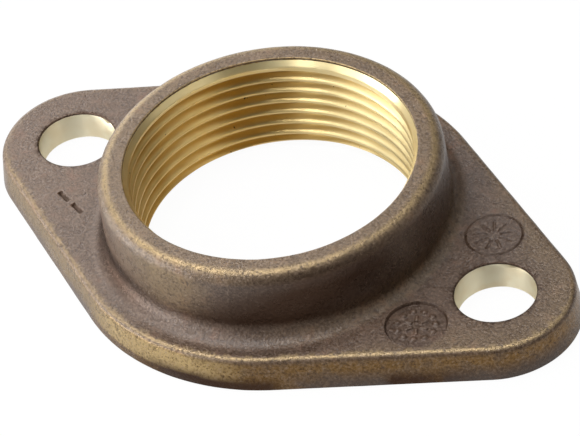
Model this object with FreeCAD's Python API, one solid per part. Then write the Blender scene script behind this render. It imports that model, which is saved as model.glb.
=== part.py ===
"""Two-bolt oval pipe flange: one bronze casting with a raised round boss and a bore for a pipe thread.

Sizes are in millimetres. The origin is on the bore's axis, on the flat gasket face.
+X runs through the two bolt holes, and +Z runs up the bore towards the boss.
"""
import FreeCAD, Part
import math
import os

Vector = FreeCAD.Vector
AXIS = Vector(0, 0, 1)
CENTRE = Vector(0, 0, 0)

# Bore, drilled straight for a tapered pipe thread
BORE_DIAMETER = 43.66
MOUTH_CHAMFER = 1.37
GASKET_CHAMFER = 1.5

# Raised boss around the bore
HEIGHT = 17.9
BOSS_WALL = 5.47
BOSS_DRAFT_DEG = 2.0
RIM_EDGE_RADIUS = 2.2
ROOT_FILLET = 2.0

# Oval flange
FLANGE_THICKNESS = 5.6
WAIST_SHELF = 5.77
WAIST_SET_BACK = 0.9
EAR_WALL = 7.5
EAR_SET_IN = 0.9
SIDE_DRAFT_DEG = 8.0
TOP_EDGE_RADIUS = 1.0

# Bolt holes, drilled from the gasket face and broken at that edge
BOLT_SPACING = 80.17
BOLT_HOLE_DIAMETER = 12.7
BOLT_HOLE_BREAK = 0.5

# Shallow round pocket cast into the upper face beside one ear
POCKET_DIAMETER = 9.8
POCKET_DEPTH = 0.45
POCKET_DRAFT_DEG = 25.0
POCKET_BEARING_DEG = -19.0
POCKET_MARGIN = 0.1

# Share of a flat that a fillet may take, and how far a cutter runs past a face
FILLET_SHARE = 0.9
OVERRUN = 1.0
TOLERANCE = 1e-4


def slope(degrees):
    """Return the sideways run of a drafted wall for each millimetre of height."""
    return math.tan(math.radians(degrees))


BORE_RADIUS = BORE_DIAMETER / 2
RIM_RADIUS = BORE_RADIUS + BOSS_WALL
ROOT_RADIUS = RIM_RADIUS + (HEIGHT - FLANGE_THICKNESS) * slope(BOSS_DRAFT_DEG)
BOLT_HOLE_RADIUS = BOLT_HOLE_DIAMETER / 2
WAIST_RADIUS = ROOT_RADIUS + WAIST_SHELF + WAIST_SET_BACK
EAR_RADIUS = BOLT_HOLE_RADIUS + EAR_WALL
BOLT_REACH = BOLT_SPACING / 2
EAR_REACH = BOLT_REACH - EAR_SET_IN
TOP_INSET = FLANGE_THICKNESS * slope(SIDE_DRAFT_DEG)


def polar(radius, angle, centre=CENTRE):
    """Return the point at a radius and a level angle in radians about a centre."""
    return centre + Vector(radius * math.cos(angle), radius * math.sin(angle), 0)


def oval_outline(z, inset):
    """Return the flange's outline at a height: waist arcs, ear arcs and the straight sides tangent to both."""
    waist = WAIST_RADIUS - inset
    ear = EAR_RADIUS - inset
    centres_apart = math.hypot(EAR_REACH, WAIST_SET_BACK)
    lean = math.atan2(WAIST_SET_BACK, EAR_REACH) + math.acos((WAIST_RADIUS - EAR_RADIUS) / centres_apart)
    stations = [
        (Vector(0, -WAIST_SET_BACK, z), waist, lean, math.pi - lean),
        (Vector(-EAR_REACH, 0, z), ear, math.pi - lean, math.pi + lean),
        (Vector(0, WAIST_SET_BACK, z), waist, math.pi + lean, 2 * math.pi - lean),
        (Vector(EAR_REACH, 0, z), ear, -lean, lean),
    ]
    edges = []
    for index, (centre, radius, first, last) in enumerate(stations):
        start = polar(radius, first, centre)
        middle = polar(radius, (first + last) / 2, centre)
        end = polar(radius, last, centre)
        next_centre, next_radius, next_first, _ = stations[(index + 1) % len(stations)]
        edges.append(Part.Arc(start, middle, end).toShape())
        edges.append(Part.LineSegment(end, polar(next_radius, next_first, next_centre)).toShape())
    return Part.Wire(edges)


def turned(profile):
    """Return the solid swept by a closed (radius, z) profile turned about the bore's axis."""
    points = [Vector(radius, 0, z) for radius, z in profile]
    face = Part.Face(Part.makePolygon(points + points[:1]))
    return face.revolve(CENTRE, AXIS, 360)


def flange_plate():
    """Return the oval plate with drafted sides and square edges."""
    return Part.makeLoft([oval_outline(0, 0), oval_outline(FLANGE_THICKNESS, TOP_INSET)], True, True)


def boss():
    """Return the drafted round boss, from the gasket face to the rim."""
    foot_radius = RIM_RADIUS + HEIGHT * slope(BOSS_DRAFT_DEG)
    return turned([(0, 0), (foot_radius, 0), (RIM_RADIUS, HEIGHT), (0, HEIGHT)])


def is_ring(edge, radius):
    """Tell whether an edge is a circle of the radius about the bore's axis."""
    curve = edge.Curve
    if not isinstance(curve, Part.Circle):
        return False
    on_axis = math.hypot(curve.Center.x, curve.Center.y) < TOLERANCE
    return on_axis and abs(curve.Radius - radius) < TOLERANCE


def edges_at(solid, z):
    """Return the solid's edges that lie level at the height."""
    return [edge for edge in solid.Edges
            if abs(edge.BoundBox.ZMin - z) < TOLERANCE and abs(edge.BoundBox.ZMax - z) < TOLERANCE]


def rounded(solid):
    """Return the casting with its boss root, rim edge and flange edge rounded."""
    rim_flat = BOSS_WALL - MOUTH_CHAMFER
    rim = [edge for edge in edges_at(solid, HEIGHT) if is_ring(edge, RIM_RADIUS)]
    solid = solid.makeFillet(min(RIM_EDGE_RADIUS, rim_flat * FILLET_SHARE), rim)
    flange_edge = [edge for edge in edges_at(solid, FLANGE_THICKNESS) if not is_ring(edge, ROOT_RADIUS)]
    solid = solid.makeFillet(TOP_EDGE_RADIUS, flange_edge)
    root = [edge for edge in edges_at(solid, FLANGE_THICKNESS) if is_ring(edge, ROOT_RADIUS)]
    shelf_flat = WAIST_SHELF - TOP_INSET - TOP_EDGE_RADIUS
    return solid.makeFillet(min(ROOT_FILLET, shelf_flat * FILLET_SHARE), root)


def bore_cutter():
    """Return the straight bore with its mouth countersunk and its gasket edge chamfered at 45 degrees."""
    gasket_radius = BORE_RADIUS + GASKET_CHAMFER
    mouth_radius = BORE_RADIUS + MOUTH_CHAMFER
    return turned([
        (0, -OVERRUN),
        (gasket_radius + OVERRUN, -OVERRUN),
        (BORE_RADIUS, GASKET_CHAMFER),
        (BORE_RADIUS, HEIGHT - MOUTH_CHAMFER),
        (mouth_radius + OVERRUN, HEIGHT + OVERRUN),
        (0, HEIGHT + OVERRUN),
    ])


def bolt_hole_cutter(x):
    """Return a bolt hole at x, with its gasket edge broken at 45 degrees."""
    broken_radius = BOLT_HOLE_RADIUS + BOLT_HOLE_BREAK
    hole = turned([
        (0, -OVERRUN),
        (broken_radius + OVERRUN, -OVERRUN),
        (BOLT_HOLE_RADIUS, BOLT_HOLE_BREAK),
        (BOLT_HOLE_RADIUS, HEIGHT),
        (0, HEIGHT),
    ])
    hole.translate(Vector(x, 0, 0))
    return hole


def pocket_cutter():
    """Return the shallow drafted pocket, set just outside the boss's root fillet."""
    top_radius = POCKET_DIAMETER / 2
    floor_radius = top_radius - POCKET_DEPTH * slope(POCKET_DRAFT_DEG)
    over_radius = top_radius + OVERRUN * slope(POCKET_DRAFT_DEG)
    reach = ROOT_RADIUS + ROOT_FILLET + POCKET_MARGIN + top_radius
    pocket = Part.makeCone(floor_radius, over_radius, POCKET_DEPTH + OVERRUN)
    floor_centre = Vector(0, 0, FLANGE_THICKNESS - POCKET_DEPTH)
    pocket.translate(polar(reach, math.radians(POCKET_BEARING_DEG), floor_centre))
    return pocket


def flange_body():
    """Return the whole casting after drilling."""
    casting = rounded(flange_plate().fuse(boss()).removeSplitter())
    cutters = [bore_cutter(), bolt_hole_cutter(BOLT_REACH), bolt_hole_cutter(-BOLT_REACH), pocket_cutter()]
    return casting.cut(cutters)


def main():
    """Build the casting and write it as a STEP file."""
    os.makedirs("parts", exist_ok=True)
    body = flange_body()
    solid = body.Solids[0]
    print("solids", len(body.Solids), "valid", body.isValid(), "volume", round(solid.Volume, 2))
    print("box", solid.BoundBox)
    solid.exportStep("parts/flange_body.step")


main()
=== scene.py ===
"""Two-bolt oval pipe flange: one bronze casting, drilled, faced and cut with a tapered pipe thread.

Sizes are in metres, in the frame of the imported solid. The origin is on the bore's axis on the gasket
face, +X runs through the two bolt holes, and +Z runs up the bore towards the boss.
"""

import logging
import math
from dataclasses import dataclass, field
from enum import Enum, IntEnum
from typing import Any, Mapping, Sequence

import bmesh
import bpy
import numpy as np
from mathutils import Matrix, Vector
from mathutils.geometry import delaunay_2d_cdt


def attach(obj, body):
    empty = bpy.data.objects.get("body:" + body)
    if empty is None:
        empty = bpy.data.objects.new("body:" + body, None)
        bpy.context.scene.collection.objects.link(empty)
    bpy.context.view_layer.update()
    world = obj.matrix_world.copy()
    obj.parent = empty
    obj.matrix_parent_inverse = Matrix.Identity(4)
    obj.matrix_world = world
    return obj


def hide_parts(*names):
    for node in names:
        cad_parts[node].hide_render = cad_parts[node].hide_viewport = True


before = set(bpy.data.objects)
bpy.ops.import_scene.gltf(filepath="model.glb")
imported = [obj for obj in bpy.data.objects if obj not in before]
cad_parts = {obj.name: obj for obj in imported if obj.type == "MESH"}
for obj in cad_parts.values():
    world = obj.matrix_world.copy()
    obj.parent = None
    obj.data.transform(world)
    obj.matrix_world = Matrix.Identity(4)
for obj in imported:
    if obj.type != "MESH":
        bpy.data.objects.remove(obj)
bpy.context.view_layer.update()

MM = 0.001
FULL_TURN = 2 * math.pi
UP = (0.0, 0.0, 1.0)
LEVEL = (1.0, 1.0, 0.0)
ORIGIN = (0.0, 0.0, 0.0)
WHITE = (1.0, 1.0, 1.0, 1.0)

# The plate's thickness, which the boss, the bolt holes and the marks stand on
FLANGE_THICKNESS = 5.6 * MM

# Points this close are welded, and triangles with less than half this area are dropped
WELD = 0.002 * MM
SLIVER = (0.01 * MM) ** 2

# Inner points of a flat face: the height of their rows and their room at an edge, as shares of their spacing
ROW_SHARE = math.sqrt(0.75)
EDGE_ROOM = 0.6

# A flat face is filled inside its edges, and points this many millimetres apart count as one
FILL_INSIDE = 1
FILL_TOLERANCE = 1e-6

# How many points of a loop are measured at once
LOOP_STEP = 64

# The picture in pixels and the log
IMAGE_WIDTH = 580
IMAGE_HEIGHT = 436
LOG = logging.getLogger("flange")

Colour = tuple[float, float, float, float]
Triple = tuple[float, float, float]
Pair = tuple[float, float]

# A noise's waves in a metre, finer layers and their strength
Noise = Triple

# A ramp's start and full values, a hump's middle and width, and pairs of a place and its value
Ramp = Pair
Hump = Pair
Spread = tuple[Pair, ...]

# One size or one for each point of a ring, the radius and height of each ring, and points with their faces
Size = float | np.ndarray
Section = list[tuple[Size, Size]]
Patch = tuple[np.ndarray, list[tuple[int, ...]]]


class Finish(IntEnum):
    """The finishes on the casting, in the order of its material slots."""

    CAST = 0
    CUT = 1
    DRILLED = 2
    FACED = 3


class Mask(str, Enum):
    """Point attributes that tell the finishes, the relief, the wear with painted highlights, and the painted
    shade where they are on the skin.
    """

    RELIEF = "relief"
    # Real wear on edges, plus painted highlights on the lit front-left of the boss wall and plate side and on
    # the boss's root fillet
    WEAR_AND_HIGHLIGHT = "wear_and_highlight"
    SIDE = "side"
    # Painted shade in the thread's grooves, in the boss's left corner, on its wall's shaded front-right, on
    # the front shelf and in the marks, plus darker places at the lip, hole edges and foot
    SHADE_AND_DARKENING = "shade_and_darkening"


class Signal:
    """One output of a node, whose arithmetic adds Math nodes to the same sheet."""

    def __init__(self, sheet: "NodeSheet", node: bpy.types.Node, out: str | int) -> None:
        """Keep a node and one of its outputs.

        Args:
            sheet: The sheet that holds the node.
            node: The node.
            out: The number, identifier or name of its output.
        """
        self.sheet = sheet
        self.node = node
        self.out = out

    @property
    def socket(self) -> bpy.types.NodeSocket:
        """The output socket itself."""
        return find_socket(self.node.outputs, self.out)

    def output(self, out: str | int) -> "Signal":
        """Another output of the same node."""
        return Signal(self.sheet, self.node, out)

    def __add__(self, other: "Signal | float") -> "Signal":
        """This signal plus another."""
        return self.sheet.math("ADD", self, other)

    def __radd__(self, other: float) -> "Signal":
        """A number plus this signal."""
        return self.sheet.math("ADD", other, self)

    def __sub__(self, other: "Signal | float") -> "Signal":
        """This signal less another."""
        return self.sheet.math("SUBTRACT", self, other)

    def __rsub__(self, other: float) -> "Signal":
        """A number less this signal."""
        return self.sheet.math("SUBTRACT", other, self)

    def __mul__(self, other: "Signal | float") -> "Signal":
        """This signal times another."""
        return self.sheet.math("MULTIPLY", self, other)

    def __rmul__(self, other: float) -> "Signal":
        """A number times this signal."""
        return self.sheet.math("MULTIPLY", other, self)

    def __truediv__(self, other: "Signal | float") -> "Signal":
        """This signal over another."""
        return self.sheet.math("DIVIDE", self, other)

    def __rtruediv__(self, other: float) -> "Signal":
        """A number over this signal."""
        return self.sheet.math("DIVIDE", other, self)

    def __abs__(self) -> "Signal":
        """This signal without its sign."""
        return self.sheet.math("ABSOLUTE", self)

    def part(self) -> "Signal":
        """The part of this signal after the whole number."""
        return self.sheet.math("FRACT", self)

    def sine(self) -> "Signal":
        """The sine of this signal in radians."""
        return self.sheet.math("SINE", self)

    def cosine(self) -> "Signal":
        """The cosine of this signal in radians."""
        return self.sheet.math("COSINE", self)

    def root(self) -> "Signal":
        """The square root of this signal."""
        return self.sheet.math("SQRT", self)

    def at_least(self, other: "Signal | float") -> "Signal":
        """The larger of this signal and another."""
        return self.sheet.math("MAXIMUM", self, other)

    def at_most(self, other: "Signal | float") -> "Signal":
        """The smaller of this signal and another."""
        return self.sheet.math("MINIMUM", self, other)

    def clamped(self) -> "Signal":
        """This signal held between 0 and 1."""
        return self.at_least(0.0).at_most(1.0)

    def swing(self, reach: "Signal | float") -> "Signal":
        """How far this signal is from 0.5, times a reach."""
        return (self - 0.5) * reach

    def lifted(self, least: float) -> "Signal":
        """This signal of 0 to 1, raised to run from a least value to 1."""
        return least + self * (1.0 - least)

    def rise(self, low: "Signal | float", high: "Signal | float") -> "Signal":
        """Turn this signal into a smooth step.

        Args:
            low: Where the step leaves 0.
            high: Where it reaches 1.

        Returns:
            The step.
        """
        return self.sheet.node(
            "ShaderNodeMapRange",
            {"interpolation_type": "SMOOTHSTEP"},
            {"Value": self, "From Min": low, "From Max": high},
        )


def find_socket(sockets: Sequence[bpy.types.NodeSocket], key: str | int) -> bpy.types.NodeSocket:
    """Find a socket by number, identifier or name.

    Args:
        sockets: A node's inputs or outputs.
        key: The socket's number, identifier or name.

    Returns:
        The socket.
    """
    if isinstance(key, int):
        return sockets[key]
    for socket in sockets:
        if socket.identifier == key:
            return socket
    return sockets[key]


class NodeSheet:
    """A node tree that is filled from Python."""

    def __init__(self, tree: bpy.types.NodeTree) -> None:
        """Keep the tree and empty it."""
        self.tree = tree
        tree.nodes.clear()

    def node(
        self,
        kind: str,
        settings: Mapping[str, Any] | None = None,
        sockets: Mapping[str | int, Any] | None = None,
        out: str | int = 0,
    ) -> Signal:
        """Add a node.

        Args:
            kind: The node's type.
            settings: Its own settings, such as its operation, set before its sockets.
            sockets: Values or signals for its inputs, by number, identifier or name.
            out: The output that the signal stands for.

        Returns:
            The chosen output.
        """
        node = self.tree.nodes.new(kind)
        for name, value in (settings or {}).items():
            setattr(node, name, value)
        for name, value in (sockets or {}).items():
            socket = find_socket(node.inputs, name)
            if isinstance(value, Signal):
                self.tree.links.new(value.socket, socket)
            else:
                socket.default_value = value
        return Signal(self, node, out)

    def math(self, operation: str, *values: Signal | float) -> Signal:
        """Add a Math node.

        Args:
            operation: The node's operation.
            values: Its values in order.

        Returns:
            The result.
        """
        return self.node("ShaderNodeMath", {"operation": operation}, dict(enumerate(values)))

    def noise(self, place: Signal, scale: float, detail: float, rough: float) -> Signal:
        """Add a noise pattern.

        Args:
            place: Where it is read.
            scale: Its waves in a metre.
            detail: How many finer layers it has.
            rough: How strong they are.

        Returns:
            Its value, which stays near 0.5.
        """
        sockets = {"Vector": place, "Scale": scale, "Detail": detail, "Roughness": rough}
        return self.node("ShaderNodeTexNoise", {"noise_dimensions": "3D"}, sockets)

    def vector_math(self, operation: str, first: Signal, second: Triple, out: str = "Vector") -> Signal:
        """Add a Vector Math node.

        Args:
            operation: The node's operation.
            first: Its first vector.
            second: Its second vector.
            out: The output that the signal stands for.

        Returns:
            The result.
        """
        sockets = {"Vector": first, "Vector_001": second}
        return self.node("ShaderNodeVectorMath", {"operation": operation}, sockets, out)

    def stretched(self, place: Signal, factors: Triple) -> Signal:
        """Multiply a vector by three factors, one for each axis."""
        return self.vector_math("MULTIPLY", place, factors)

    def along(self, place: Signal, direction: Triple) -> Signal:
        """Measure a vector along a direction."""
        return self.vector_math("DOT_PRODUCT", place, direction, "Value")

    def apart(self, place: Signal, point: Triple) -> Signal:
        """Measure how far a place is from a point."""
        return self.vector_math("DISTANCE", place, point, "Value")

    def mix(self, share: Signal | float, under: Signal | Colour, over: Signal | Colour) -> Signal:
        """Mix two colours.

        Args:
            share: How much of the second shows.
            under: The first colour.
            over: The second colour.

        Returns:
            The mixed colour.
        """
        sockets = {"Factor_Float": share, "A_Color": under, "B_Color": over}
        return self.node("ShaderNodeMix", {"data_type": "RGBA"}, sockets, "Result_Color")


class SurfaceSheet(NodeSheet):
    """The node tree of a new material."""

    def __init__(self, name: str) -> None:
        """Make the material and read its place on the piece.

        Args:
            name: The material's name.
        """
        self.material = bpy.data.materials.new(name)
        self.material.use_nodes = True
        super().__init__(self.material.node_tree)
        self.place = self.node("ShaderNodeTexCoord", out="Object")

    def mask(self, mask: Mask) -> Signal:
        """Read one of the skin's point attributes."""
        return self.node("ShaderNodeAttribute", {"attribute_name": mask.value}, out="Fac")

    def dress(self, height: Signal, depth: float, sockets: Mapping[str, Any]) -> bpy.types.Material:
        """Close the tree with one shader.

        Args:
            height: The bump pattern.
            depth: The depth of the bump from its lowest to its highest value.
            sockets: The shader's other values.

        Returns:
            The material.
        """
        bump = self.node("ShaderNodeBump", sockets={"Strength": 1.0, "Distance": depth, "Height": height})
        shader = self.node("ShaderNodeBsdfPrincipled", sockets={**sockets, "Normal": bump})
        self.node("ShaderNodeOutputMaterial", sockets={"Surface": shader})
        return self.material


class MeshRule(NodeSheet):
    """A Geometry Nodes tree with named sizes, which runs once and leaves a plain mesh."""

    def __init__(self, name: str) -> None:
        """Make an empty tree that takes and gives a mesh.

        Args:
            name: The tree's name.
        """
        super().__init__(bpy.data.node_groups.new(name, "GeometryNodeTree"))
        self.values: dict[str, float | int] = {}
        self.tree.interface.new_socket("Mesh", in_out="INPUT", socket_type="NodeSocketGeometry")
        self.tree.interface.new_socket("Mesh", in_out="OUTPUT", socket_type="NodeSocketGeometry")
        self.entry = self.node("NodeGroupInput")

    def size(self, name: str, value: float | int) -> Signal:
        """Add a named input.

        Args:
            name: The input's name.
            value: Its value for this piece.

        Returns:
            The input's signal.
        """
        kind = "NodeSocketInt" if isinstance(value, int) else "NodeSocketFloat"
        socket = self.tree.interface.new_socket(name, in_out="INPUT", socket_type=kind)
        self.values[socket.identifier] = value
        return self.entry.output(socket.identifier)

    def sheet_of(self, columns: Signal, rows: Signal) -> tuple[Signal, Signal, Signal]:
        """Add a flat grid of one unit square.

        Args:
            columns: Points across it.
            rows: Points up it.

        Returns:
            The grid, and the share across and up it at each point.
        """
        sockets = {"Size X": 1.0, "Size Y": 1.0, "Vertices X": columns, "Vertices Y": rows}
        grid = self.node("GeometryNodeMeshGrid", sockets=sockets)
        place = self.node("ShaderNodeSeparateXYZ", sockets={0: self.node("GeometryNodeInputPosition")})
        return grid, place.output("X") + 0.5, place.output("Y") + 0.5

    def placed(self, mesh: Signal, x: Signal, y: Signal, z: Signal) -> Signal:
        """Move a mesh's points and weld those that meet.

        Args:
            mesh: The mesh.
            x: Each point's new x.
            y: Each point's new y.
            z: Each point's new z.

        Returns:
            The welded mesh.
        """
        place = self.node("ShaderNodeCombineXYZ", sockets={"X": x, "Y": y, "Z": z})
        moved = self.node("GeometryNodeSetPosition", sockets={"Geometry": mesh, "Position": place})
        return self.node("GeometryNodeMergeByDistance", sockets={"Geometry": moved, "Distance": WELD})

    def close(self, mesh: Signal, materials: Sequence[bpy.types.Material]) -> None:
        """End the tree with its materials.

        Args:
            mesh: The finished mesh.
            materials: One material for the whole mesh, or one for each value of its finish attribute.
        """
        mesh = self.node("GeometryNodeRealizeInstances", sockets={"Geometry": mesh})
        finish = self.node("GeometryNodeInputNamedAttribute", {"data_type": "INT"}, {"Name": "finish"})
        for number, material in enumerate(materials):
            sockets = {"Geometry": mesh, "Material": material}
            if len(materials) > 1:
                compared = {"A_INT": finish, "B_INT": number}
                settings = {"data_type": "INT", "operation": "EQUAL"}
                sockets["Selection"] = self.node("FunctionNodeCompare", settings, compared)
            mesh = self.node("GeometryNodeSetMaterial", sockets=sockets)
        self.node("NodeGroupOutput", sockets={"Mesh": mesh})

    def run(self, mesh: bpy.types.Mesh | None = None) -> bpy.types.Mesh:
        """Run the tree once.

        Args:
            mesh: The mesh that it starts from, if it needs one.

        Returns:
            A plain mesh of the result.
        """
        name = self.tree.name
        holder = put_in_scene(name, mesh or bpy.data.meshes.new(name))
        modifier = holder.modifiers.new(name, "NODES")
        modifier.node_group = self.tree
        for identifier, value in self.values.items():
            modifier[identifier] = value
        graph = bpy.context.evaluated_depsgraph_get()
        made = bpy.data.meshes.new_from_object(
            holder.evaluated_get(graph), preserve_all_data_layers=True, depsgraph=graph
        )
        holder.modifiers.remove(modifier)
        bpy.data.objects.remove(holder)
        return made


def put_in_scene(name: str, data: bpy.types.ID) -> bpy.types.Object:
    """Make an object of a mesh, lamp or camera and put it in the scene.

    Args:
        name: The object's name.
        data: The mesh, lamp or camera.

    Returns:
        The object.
    """
    made = bpy.data.objects.new(name, data)
    bpy.context.scene.collection.objects.link(made)
    return made


def mesh_patch(mesh: bpy.types.Mesh) -> Patch:
    """Read a mesh's points and faces.

    Args:
        mesh: A plain mesh.

    Returns:
        Its points and faces.
    """
    points = np.empty(len(mesh.vertices) * 3)
    mesh.vertices.foreach_get("co", points)
    return points.reshape(-1, 3), [tuple(face.vertices) for face in mesh.polygons]


def circle(radius: Size, z: Size, columns: int, centre: Pair = (0.0, 0.0)) -> np.ndarray:
    """Lay points evenly round a circle.

    Args:
        radius: Its radius, or one for each point.
        z: Its height, or one for each point.
        columns: How many points it has.
        centre: Its centre in plan.

    Returns:
        The points, counter-clockwise from +X.
    """
    angle = np.arange(columns) * FULL_TURN / columns
    level = np.full(columns, z)
    return np.column_stack([centre[0] + radius * np.cos(angle), centre[1] + radius * np.sin(angle), level])


def band(rings: Sequence[np.ndarray]) -> Patch:
    """Join closed rings of equal length with quads.

    Args:
        rings: The rings in order.

    Returns:
        The band's points and faces.
    """
    count = len(rings[0])
    faces = []
    for row in range(len(rings) - 1):
        for column in range(count):
            beside = (column + 1) % count
            low, high = row * count, (row + 1) * count
            faces.append((low + column, low + beside, high + beside, high + column))
    return np.vstack(rings), faces


def arc(centre: tuple[Size, Size], radius: Size, first: float, last: float, steps: int) -> Section:
    """Lay points along an arc of a section.

    Args:
        centre: The arc's centre.
        radius: Its radius.
        first: Its first angle in degrees.
        last: Its last angle in degrees.
        steps: How many pieces it has.

    Returns:
        The points from first to last.
    """
    angles = np.radians(np.linspace(first, last, steps + 1))
    return [(centre[0] + radius * math.cos(a), centre[1] + radius * math.sin(a)) for a in angles]


def ramp(values: np.ndarray, start: float, full: float) -> np.ndarray:
    """Turn values into shares that change evenly between two of them.

    Args:
        values: The values.
        start: The value whose share is 0.
        full: The value whose share is 1.

    Returns:
        The shares, held between 0 and 1.
    """
    return np.clip((values - start) / (full - start), 0.0, 1.0)


def hump(values: np.ndarray, middle: float, width: Size) -> np.ndarray:
    """Turn values into shares that are 1 at a middle and fall off smoothly on both sides of it."""
    return np.exp(-(((values - middle) / width) ** 2))


def spread_at(spread: Spread, places: np.ndarray) -> np.ndarray:
    """Read a spread's values at places between its own."""
    return np.interp(places, *zip(*spread))


def plan_angle(points: np.ndarray) -> np.ndarray:
    """Measure the angle of points about the bore's axis, in degrees from +X."""
    return np.degrees(np.arctan2(points[:, 1], points[:, 0]))


def plan_radius(points: np.ndarray, centre: Pair = (0.0, 0.0)) -> np.ndarray:
    """Measure how far points are from an upright axis."""
    return np.hypot(points[:, 0] - centre[0], points[:, 1] - centre[1])


def nearest(points: np.ndarray, loop: np.ndarray) -> np.ndarray:
    """Measure how far points are from a loop's points in plan.

    Args:
        points: The points.
        loop: The loop.

    Returns:
        The distance for each point.
    """
    apart = np.full(len(points), np.inf)
    for start in range(0, len(loop), LOOP_STEP):
        part = loop[None, start:start + LOOP_STEP, :2] - points[:, None, :2]
        apart = np.minimum(apart, np.sqrt((part ** 2).sum(2)).min(1))
    return apart


def within(points: np.ndarray, loop: np.ndarray) -> np.ndarray:
    """Tell which points lie inside a loop in plan.

    Args:
        points: The points.
        loop: The loop.

    Returns:
        True for each point inside.
    """
    inside = np.zeros(len(points), bool)
    x, y = points[:, 0], points[:, 1]
    for (x0, y0), (x1, y1) in zip(loop[:, :2], np.roll(loop[:, :2], -1, axis=0)):
        crosses = (y0 > y) != (y1 > y)
        if crosses.any():
            inside[crosses] ^= x[crosses] < x0 + (y[crosses] - y0) * (x1 - x0) / (y1 - y0)
    return inside


def inner_points(outer: np.ndarray, holes: Sequence[np.ndarray], spacing: float) -> np.ndarray:
    """Lay even points inside a level face, clear of its edges.

    Args:
        outer: The outer loop.
        holes: The loops that are left open.
        spacing: How far apart the points are.

    Returns:
        The points.
    """
    low, high = outer.min(0), outer.max(0)
    rows = np.arange(low[1], high[1], spacing * ROW_SHARE)
    columns = np.arange(low[0], high[0], spacing)
    shift = np.arange(len(rows)) % 2 * spacing / 2
    x = (columns[None, :] + shift[:, None]).ravel()
    points = np.column_stack([x, np.repeat(rows, len(columns)), np.full(len(x), low[2])])
    kept = within(points, outer) & (nearest(points, np.vstack([outer, *holes])) > spacing * EDGE_ROOM)
    for hole in holes:
        kept &= ~within(points, hole)
    return points[kept]


def flat_face(outer: np.ndarray, holes: Sequence[np.ndarray], spacing: float = 0.0) -> Patch:
    """Fill a level face between an outer loop and its holes.

    Args:
        outer: The outer loop.
        holes: The loops that are left open.
        spacing: How far apart inner points are laid, or 0 for none.

    Returns:
        The face's points and triangles.
    """
    points = np.vstack([outer, *holes])
    edges = []
    start = 0
    for loop in (outer, *holes):
        edges += [(start + i, start + (i + 1) % len(loop)) for i in range(len(loop))]
        start += len(loop)
    if spacing:
        points = np.vstack([points, inner_points(outer, holes, spacing)])
    flat = [Vector(p[:2] / MM) for p in points]
    made, _, faces, *_ = delaunay_2d_cdt(flat, edges, [], FILL_INSIDE, FILL_TOLERANCE, False)
    plan = np.array([tuple(p) for p in made]) * MM
    corners = np.array([tuple(face) for face in faces])
    first, second = (plan[corners[:, side]] - plan[corners[:, 0]] for side in (1, 2))
    kept = np.abs(first[:, 0] * second[:, 1] - first[:, 1] * second[:, 0]) > SLIVER
    middles = plan[corners].mean(1)
    for hole in holes:
        kept &= ~within(middles, hole)
    level = np.full(len(plan), outer[0][2])
    return np.column_stack([plan, level]), [tuple(face) for face in corners[kept].tolist()]


class Skin:
    """Patches of one closed skin, with their finishes and masks, ready to be welded."""

    def __init__(self) -> None:
        """Start with no patches."""
        self.points: list[np.ndarray] = []
        self.faces: list[tuple[int, ...]] = []
        self.finishes: list[int] = []
        self.masks: dict[Mask, list[np.ndarray]] = {mask: [] for mask in Mask}
        self.count = 0

    def add(self, patch: Patch, finish: Finish, masks: Mapping[Mask, Size] | None = None) -> None:
        """Take in a patch.

        Args:
            patch: Its points and faces.
            finish: Its finish.
            masks: Its masks, each one value or one for each point. The rest are 0.
        """
        points, faces = patch
        self.points.append(points)
        self.faces += [tuple(corner + self.count for corner in face) for face in faces]
        self.finishes += [int(finish)] * len(faces)
        for mask in Mask:
            value = (masks or {}).get(mask, 0.0)
            self.masks[mask].append(np.broadcast_to(np.asarray(value, float), len(points)))
        self.count += len(points)

    def mesh(self, name: str) -> bpy.types.Mesh:
        """Weld the patches into one mesh with its normals outward.

        Args:
            name: The mesh's name.

        Returns:
            The welded mesh, with its masks and finish numbers as attributes.
        """
        mesh = bpy.data.meshes.new(name)
        mesh.from_pydata(np.vstack(self.points).tolist(), [], self.faces)
        mesh.attributes.new("finish", "INT", "FACE").data.foreach_set("value", self.finishes)
        for mask, values in self.masks.items():
            layer = mesh.attributes.new(mask.value, "FLOAT", "POINT")
            layer.data.foreach_set("value", np.concatenate(values).astype(np.float32))
        skin = bmesh.new()
        skin.from_mesh(mesh)
        bmesh.ops.remove_doubles(skin, verts=skin.verts, dist=WELD)
        bmesh.ops.recalc_face_normals(skin, faces=skin.faces)
        open_edges = sum(len(edge.link_faces) != 2 for edge in skin.edges)
        skin.to_mesh(mesh)
        skin.free()
        LOG.info("%s: %d faces, %d open edges", name, len(mesh.polygons), open_edges)
        return mesh


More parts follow.
